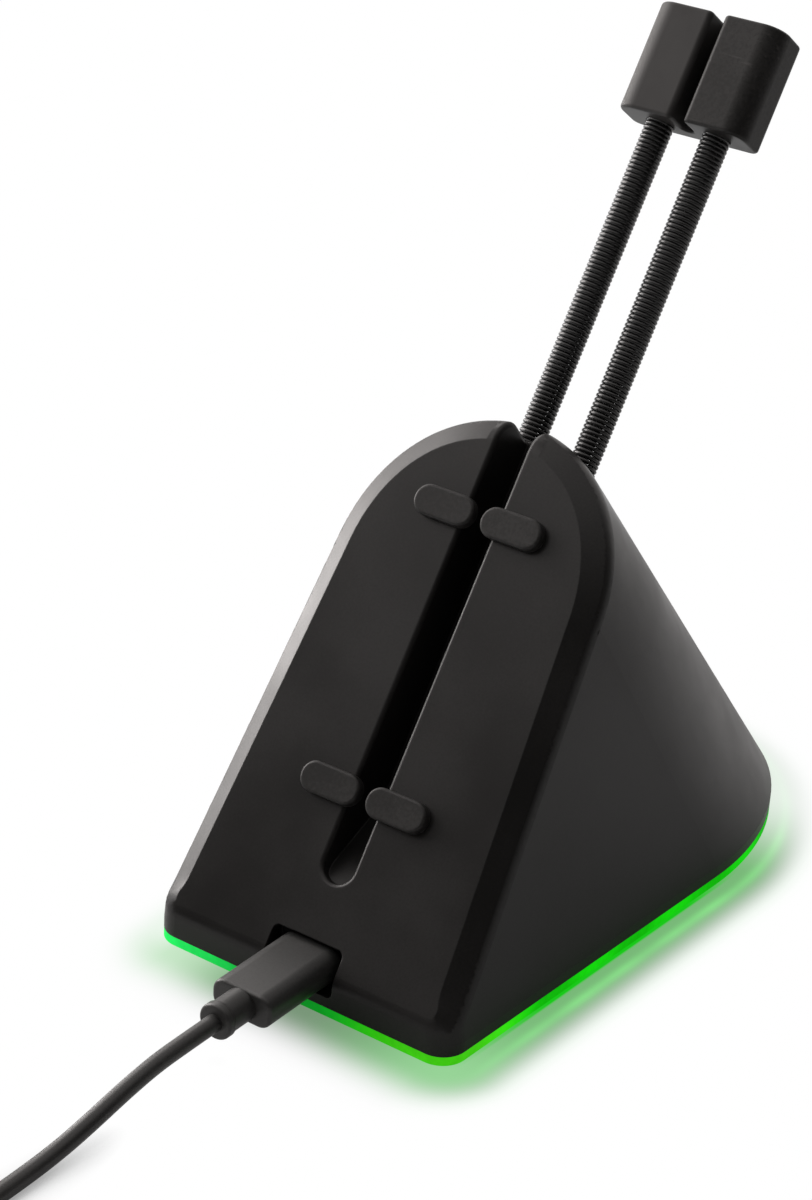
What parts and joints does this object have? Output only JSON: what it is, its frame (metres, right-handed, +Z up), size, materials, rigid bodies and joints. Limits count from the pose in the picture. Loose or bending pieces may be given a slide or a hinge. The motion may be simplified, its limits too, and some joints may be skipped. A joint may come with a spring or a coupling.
{
  "type": "mouse bungee",
  "caption": "Weighted wedge-shaped desk stand that holds a mouse cable: slotted sloping face with rubber clips, sprung arms with a slotted rubber head, lit base ring and a plug-in lead.",
  "frame": {"origin": "on the desk, at the middle of the stand's box without its lead", "axes": "+Z up, -Y towards the sloping slotted face and the plug, +Y the way the arms lean"},
  "size_m": [0.0979, 0.2502, 0.1498],
  "materials": {
    "shell": "fine matte soft-touch black",
    "under": "plain moulded black",
    "light": "frosted light guide, lit green",
    "foot": "soft non-slip sheet",
    "weight": "zinc-plated plate",
    "board": "circuit board with green mask",
    "led": "clear domes in white cases",
    "socket": "bright stamped shell",
    "insulator": "black insulator with contacts",
    "anchor": "glass-filled block",
    "screw": "zinc-plated steel",
    "spring": "black-coated spring wire",
    "clip": "soft black rubber",
    "lead": "satin grey-black cable jacket",
    "contact": "gold-plated strips",
    "tie": "twist-tie strip"
  },
  "bodies": {
    "base": {"upper_shell": "shell", "base_plate": "under", "light_ring": "light", "foot_pad": "foot", "base_weight": "weight", "led_board": "board", "usb_board": "board", "leds": "led", "usb_socket": "socket", "plug_shell": "socket", "far_plug_shell": "socket", "socket_tongue": "insulator", "far_plug_tongue": "insulator", "controller_chip": "insulator", "spring_anchor": "anchor", "case_screws": "screw", "board_screws": "screw", "weight_screws": "screw", "anchor_screws": "screw", "upper_left_clip": "clip", "upper_right_clip": "clip", "lower_left_clip": "clip", "lower_right_clip": "clip", "plug_overmold": "lead", "strain_relief": "lead", "cord_run": "lead", "cord_coil": "lead", "cord_tail": "lead", "far_plug_overmold": "lead", "far_plug_contacts": "contact", "cord_tie": "tie"},
    "arm": {"left_spring": "spring", "right_spring": "spring"},
    "head": {"cable_head": "clip"}
  },
  "joints": [
    {"name": "arm_nod", "type": "hinge", "parent": "base", "child": "arm", "pos_m": [0, 0.01267, 0.09116], "axis": [1, 0, 0], "range_deg": [-30, 20], "stiffness_Nm_per_rad": 0.12, "springref_deg": 1.2, "deforming": ["left_spring", "right_spring"]},
    {"name": "head_sway", "type": "hinge", "parent": "arm", "child": "head", "pos_m": [0, 0.02823, 0.11339], "axis": [0, -0.8191, 0.5736], "range_deg": [-20, 20], "stiffness_Nm_per_rad": 0.12}
  ]
}
